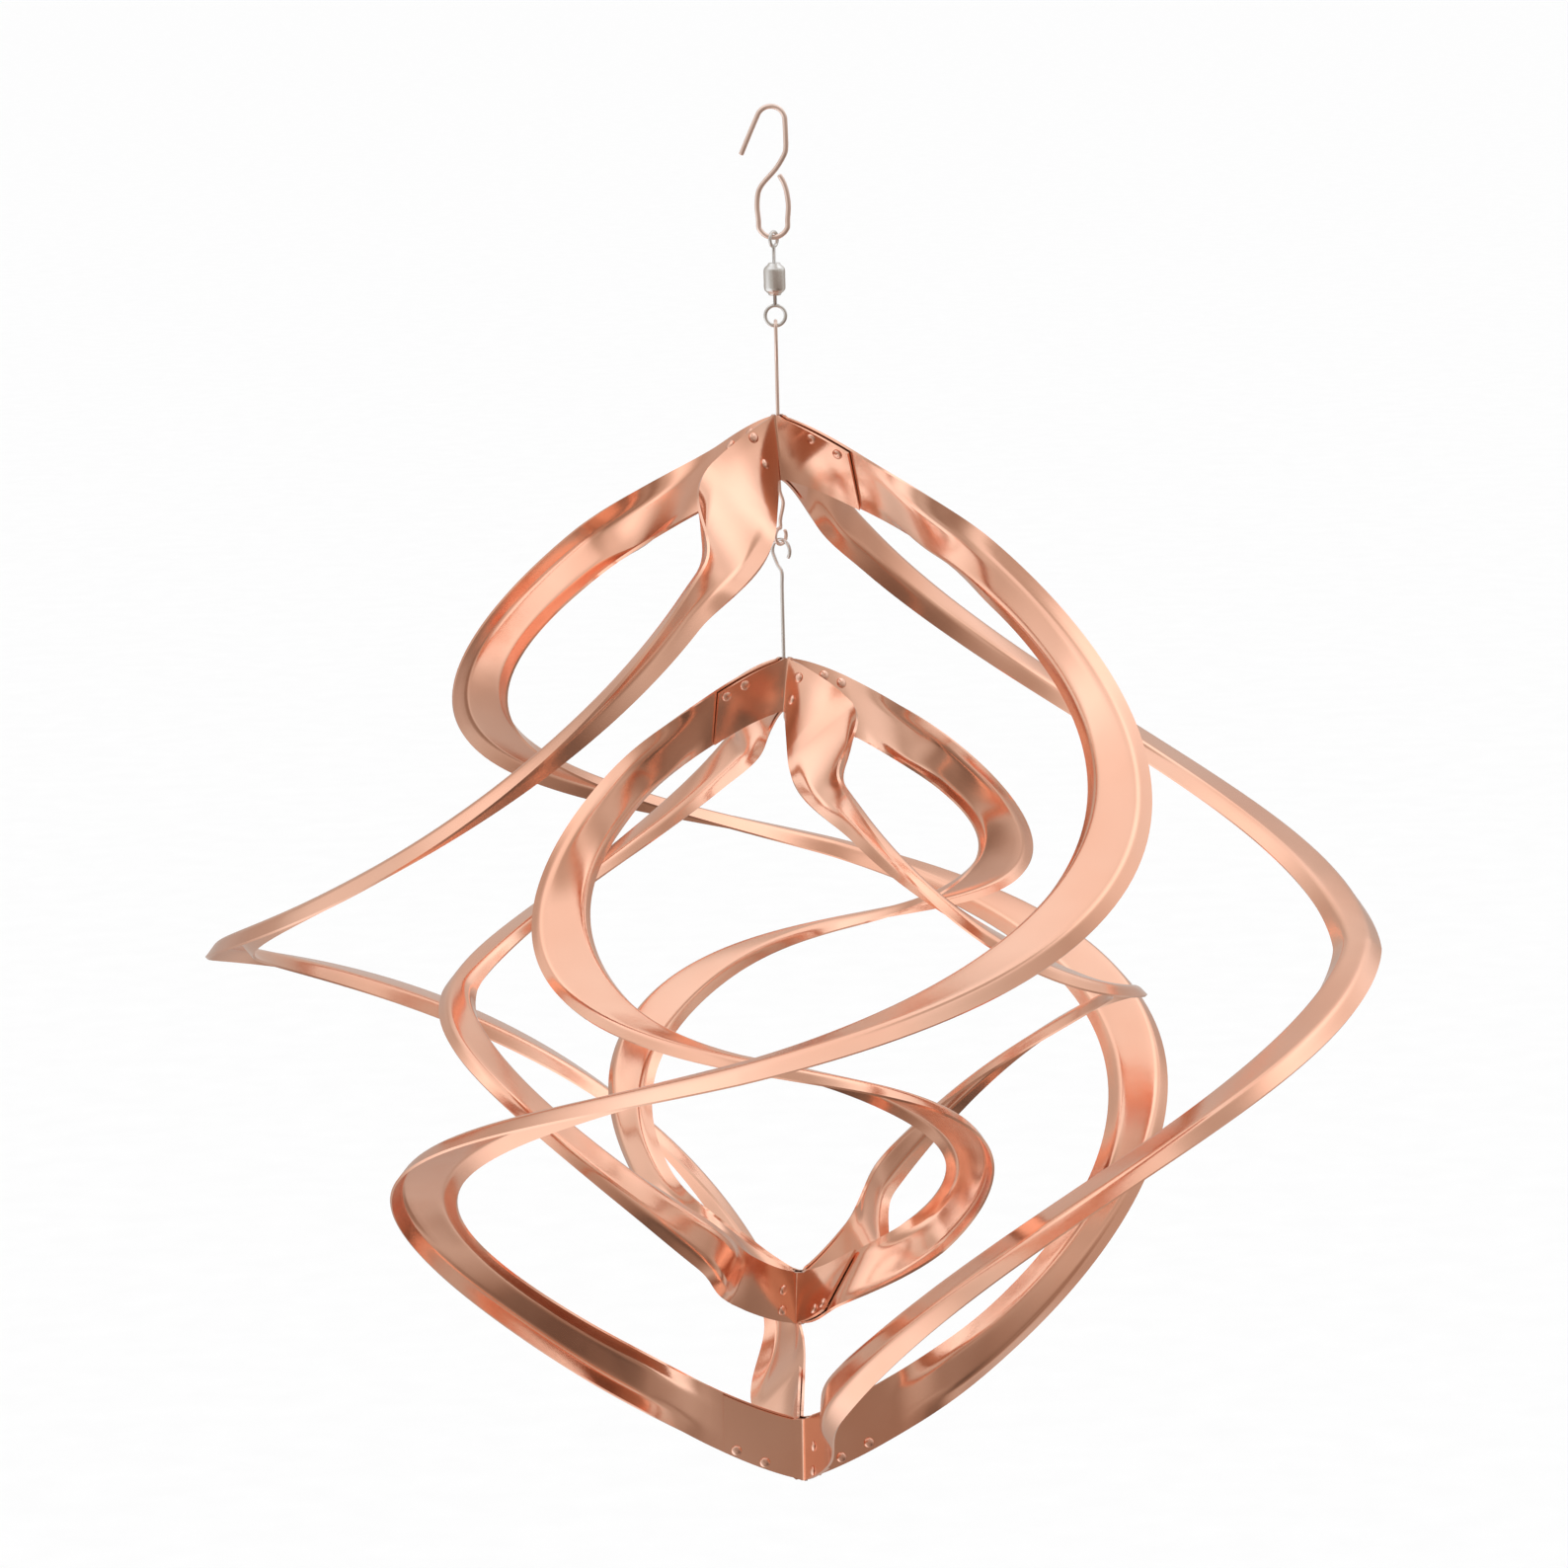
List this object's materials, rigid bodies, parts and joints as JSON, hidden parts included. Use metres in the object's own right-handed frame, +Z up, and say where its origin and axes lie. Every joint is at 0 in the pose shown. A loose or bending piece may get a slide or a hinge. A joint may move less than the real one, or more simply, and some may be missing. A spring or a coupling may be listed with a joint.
{
  "type": "hanging wind spinner",
  "caption": "Hanging wind spinner: a cage of twisted copper-coloured ribbons with a smaller, oppositely twisted cage inside, on a wire hook and swivel.",
  "frame": {"origin": "where a rail touches the inside of the hook's crown, on the hanging line", "axes": "+Z up along the hanging line; the hook's crook and loop lie in the X-Z plane; -Y faces the viewer"},
  "size_m": [0.3294, 0.3294, 0.3907],
  "materials": {
    "copper_sheet": "polished copper-coloured sheet metal",
    "rivet": "polished copper-coloured rivet",
    "copper_wire": "copper-washed steel wire",
    "steel": "nickel-plated steel"
  },
  "bodies": {
    "hook": {"hanging_hook": "copper_wire"},
    "upper_eye": {"swivel_upper_eye": "steel"},
    "barrel": {"swivel_barrel": "steel"},
    "lower_eye": {"swivel_lower_eye": "steel"},
    "outer_spinner": {"outer_hanger_wire": "copper_wire", "outer_ribbon_1": "copper_sheet", "outer_ribbon_2": "copper_sheet", "outer_ribbon_3": "copper_sheet", "outer_ribbon_4": "copper_sheet", "outer_top_rivet_1": "rivet", "outer_top_rivet_2": "rivet", "outer_top_rivet_3": "rivet", "outer_top_rivet_4": "rivet", "outer_top_rivet_5": "rivet", "outer_top_rivet_6": "rivet", "outer_top_rivet_7": "rivet", "outer_top_rivet_8": "rivet", "outer_bottom_rivet_1": "rivet", "outer_bottom_rivet_2": "rivet", "outer_bottom_rivet_3": "rivet", "outer_bottom_rivet_4": "rivet", "outer_bottom_rivet_5": "rivet", "outer_bottom_rivet_6": "rivet", "outer_bottom_rivet_7": "rivet", "outer_bottom_rivet_8": "rivet"},
    "inner_spinner": {"inner_hanger_wire": "steel", "inner_ribbon_1": "copper_sheet", "inner_ribbon_2": "copper_sheet", "inner_ribbon_3": "copper_sheet", "inner_ribbon_4": "copper_sheet", "inner_top_rivet_1": "rivet", "inner_top_rivet_2": "rivet", "inner_top_rivet_3": "rivet", "inner_top_rivet_4": "rivet", "inner_top_rivet_5": "rivet", "inner_top_rivet_6": "rivet", "inner_top_rivet_7": "rivet", "inner_top_rivet_8": "rivet", "inner_bottom_rivet_1": "rivet", "inner_bottom_rivet_2": "rivet", "inner_bottom_rivet_3": "rivet", "inner_bottom_rivet_4": "rivet", "inner_bottom_rivet_5": "rivet", "inner_bottom_rivet_6": "rivet", "inner_bottom_rivet_7": "rivet", "inner_bottom_rivet_8": "rivet"}
  },
  "joints": [
    {"name": "hook_loop_swing", "type": "hinge", "parent": "hook", "child": "upper_eye", "pos_m": [0, 0, -0.0353], "axis": [1, 0, 0], "range_deg": [-20, 20]},
    {"name": "barrel_spin", "type": "hinge", "parent": "upper_eye", "child": "barrel", "pos_m": [0, 0, -0.0468], "axis": [0, 0, 1], "continuous": true},
    {"name": "swivel_spin", "type": "hinge", "parent": "barrel", "child": "lower_eye", "pos_m": [0, 0, -0.0468], "axis": [0, 0, 1], "continuous": true},
    {"name": "outer_swing", "type": "hinge", "parent": "lower_eye", "child": "outer_spinner", "pos_m": [0, 0, -0.0597], "axis": [1, 0, 0], "range_deg": [-20, 20]},
    {"name": "inner_twist", "type": "hinge", "parent": "outer_spinner", "child": "inner_spinner", "pos_m": [0, 0, -0.1204], "axis": [0, 0, 1], "range_deg": [-30, 30]}
  ]
}
